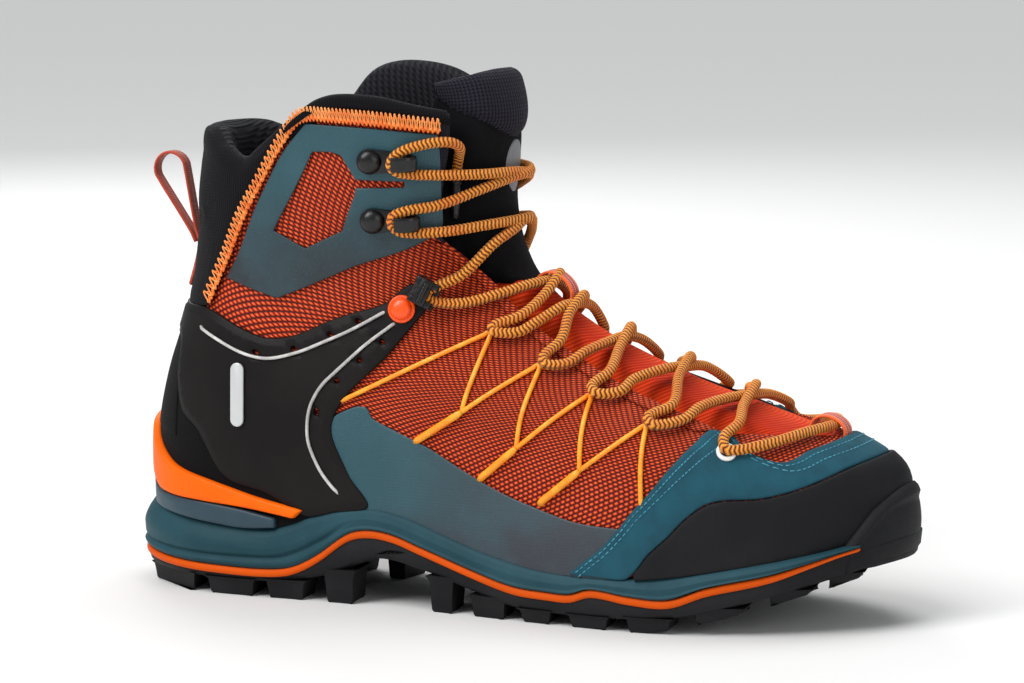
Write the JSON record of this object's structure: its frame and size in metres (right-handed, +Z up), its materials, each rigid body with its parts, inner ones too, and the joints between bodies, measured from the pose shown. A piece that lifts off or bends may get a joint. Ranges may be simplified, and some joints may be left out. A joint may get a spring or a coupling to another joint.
{
  "type": "mountaineering boot",
  "caption": "Mid-height lace-up mountaineering boot with lugged sole, rubber toe rand, heel cage, mesh upper, padded collar and tongue, laces and heel pull loop.",
  "frame": {"origin": "on the ground under the middle of the boot's box", "axes": "+X towards the toe, +Y towards the inner side of this right foot's boot, +Z up"},
  "size_m": [0.2958, 0.1048, 0.1915],
  "materials": {
    "outsole_rubber": "matte tread rubber",
    "accent_rubber": "satin moulded rubber",
    "midsole_foam": "matte moulded foam",
    "cradle_plastic": "matte moulded plastic",
    "insert_plastic": "satin moulded plastic",
    "steel": "bright",
    "board_fibre": "pressed fibre board",
    "footbed_cloth": "brushed cloth on foam",
    "upper_mesh": "woven two-tone mesh",
    "black_textile": "brushed knit",
    "stiffener": "pressed sheet",
    "tongue_orange": "ribbed stretch knit",
    "reflective": "retroreflective film",
    "rand_rubber": "smooth matte rubber",
    "suede_teal": "nubuck",
    "film_teal": "satin welded film",
    "cage_plastic": "satin moulded plastic",
    "cable_grey": "coated cable",
    "rivet_orange": "gloss enamel",
    "black_metal": "satin black",
    "eyelet_metal": "light enamel",
    "cord_orange": "braided cord",
    "lace_yarn": "round braid with dark tracers",
    "webbing_orange": "narrow woven webbing",
    "tip_plastic": "gloss"
  },
  "bodies": {
    "boot": {"outsole": "outsole_rubber", "accent_stripe": "accent_rubber", "midsole": "midsole_foam", "heel_cradle": "cradle_plastic", "heel_insert": "insert_plastic", "shank": "steel", "lasting_board": "board_fibre", "upper_shell": "upper_mesh", "lining": "black_textile", "toe_puff": "stiffener", "heel_counter": "stiffener", "collar_pad": "black_textile", "backstay": "black_textile", "tongue_lower": "tongue_orange", "toe_rand": "rand_rubber", "toe_overlay": "suede_teal", "side_film_outer": "film_teal", "side_film_inner": "film_teal", "ankle_panel_outer": "film_teal", "ankle_panel_inner": "film_teal", "heel_cage": "cage_plastic", "heel_reflectors": "reflective", "cage_cables": "cable_grey", "ankle_rivets": "rivet_orange", "lace_locks": "black_metal", "lower_speed_hooks": "black_metal", "upper_speed_hooks": "black_metal", "hook_rivets": "black_metal", "toe_eyelets": "eyelet_metal", "throat_binding": "black_textile", "tension_cords_outer": "cord_orange", "tension_cords_inner": "cord_orange", "lace_keepers": "webbing_orange", "lace": "lace_yarn", "lace_tips": "tip_plastic", "loop_tab": "webbing_orange"},
    "tongue": {"tongue_top": "black_textile", "tongue_patch": "reflective"},
    "pull_loop": {"pull_loop": "webbing_orange"},
    "footbed": {"footbed": "footbed_cloth"}
  },
  "joints": [
    {"name": "tongue_fold", "type": "hinge", "parent": "boot", "child": "tongue", "pos_m": [0.00875, -0.002, 0.116], "axis": [0, 1, 0], "range_deg": [-14, 0], "stiffness_Nm_per_rad": 0.6},
    {"name": "pull_loop_swing", "type": "hinge", "parent": "boot", "child": "pull_loop", "pos_m": [-0.12785, -0.002, 0.125], "axis": [0, 1, 0], "range_deg": [-50, 15], "stiffness_Nm_per_rad": 0.03},
    {"name": "footbed_lift", "type": "hinge", "parent": "boot", "child": "footbed", "pos_m": [0.13475, -0.002, 0.033], "axis": [0, 1, 0], "range_deg": [0, 6]}
  ]
}
